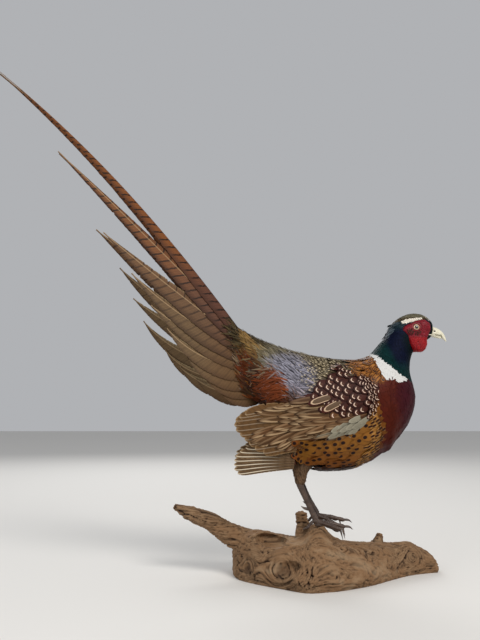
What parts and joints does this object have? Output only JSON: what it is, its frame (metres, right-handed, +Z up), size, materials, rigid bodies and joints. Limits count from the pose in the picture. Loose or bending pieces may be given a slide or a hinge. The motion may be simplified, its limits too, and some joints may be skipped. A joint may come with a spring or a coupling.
{
  "type": "taxidermy pheasant",
  "caption": "Life-size mounted cock pheasant with long raised tail, folded wings and red face wattles, standing on a piece of driftwood.",
  "frame": {"origin": "on the flat underside of the driftwood, in the bird's middle plane, 17 mm in front of the right foot's toe joint", "axes": "+X the way the bird faces, +Y the bird's left, +Z up from the underside"},
  "size_m": [0.5887, 0.141, 0.6435],
  "materials": {
    "body_plumage": "soft layered feathers, chestnut and gold, with a green and purple sheen on the neck",
    "flight_feather": "olive-buff vanes with pale shafts",
    "tail_feather": "olive-buff vanes with narrow black bars and rufous edges",
    "face_skin": "bare red skin covered in fine papillae",
    "leg_skin": "grey-mauve scutes, satin",
    "bill": "ivory horn, satin",
    "claw": "grey-brown horn, satin",
    "eye": "polished glass over a pale iris and black pupil",
    "driftwood": "weathered, bare, fibrous"
  },
  "bodies": {
    "root": {"bill_lower": "bill", "bill_upper": "bill", "claw_left_hind": "claw", "claw_left_inner": "claw", "claw_left_middle": "claw", "claw_left_outer": "claw", "claw_right_hind": "claw", "claw_right_inner": "claw", "claw_right_middle": "claw", "claw_right_outer": "claw", "driftwood": "driftwood", "eye_left": "eye", "eye_right": "eye", "foot_left": "leg_skin", "foot_right": "leg_skin", "head": "body_plumage", "neck": "body_plumage", "primaries_left": "flight_feather", "primaries_right": "flight_feather", "secondaries_left": "flight_feather", "secondaries_right": "flight_feather", "shank_left": "leg_skin", "shank_right": "leg_skin", "spur_left": "claw", "spur_right": "claw", "tail_left_1": "tail_feather", "tail_left_2": "tail_feather", "tail_left_3": "tail_feather", "tail_left_4": "tail_feather", "tail_left_5": "tail_feather", "tail_left_6": "tail_feather", "tail_left_7": "tail_feather", "tail_left_8": "tail_feather", "tail_left_9": "tail_feather", "tail_right_1": "tail_feather", "tail_right_2": "tail_feather", "tail_right_3": "tail_feather", "tail_right_4": "tail_feather", "tail_right_5": "tail_feather", "tail_right_6": "tail_feather", "tail_right_7": "tail_feather", "tail_right_8": "tail_feather", "tail_right_9": "tail_feather", "thigh_left": "body_plumage", "thigh_right": "body_plumage", "trunk": "body_plumage", "wattle_left": "face_skin", "wattle_right": "face_skin", "wing_left": "body_plumage", "wing_right": "body_plumage"}
  },
  "joints": []
}
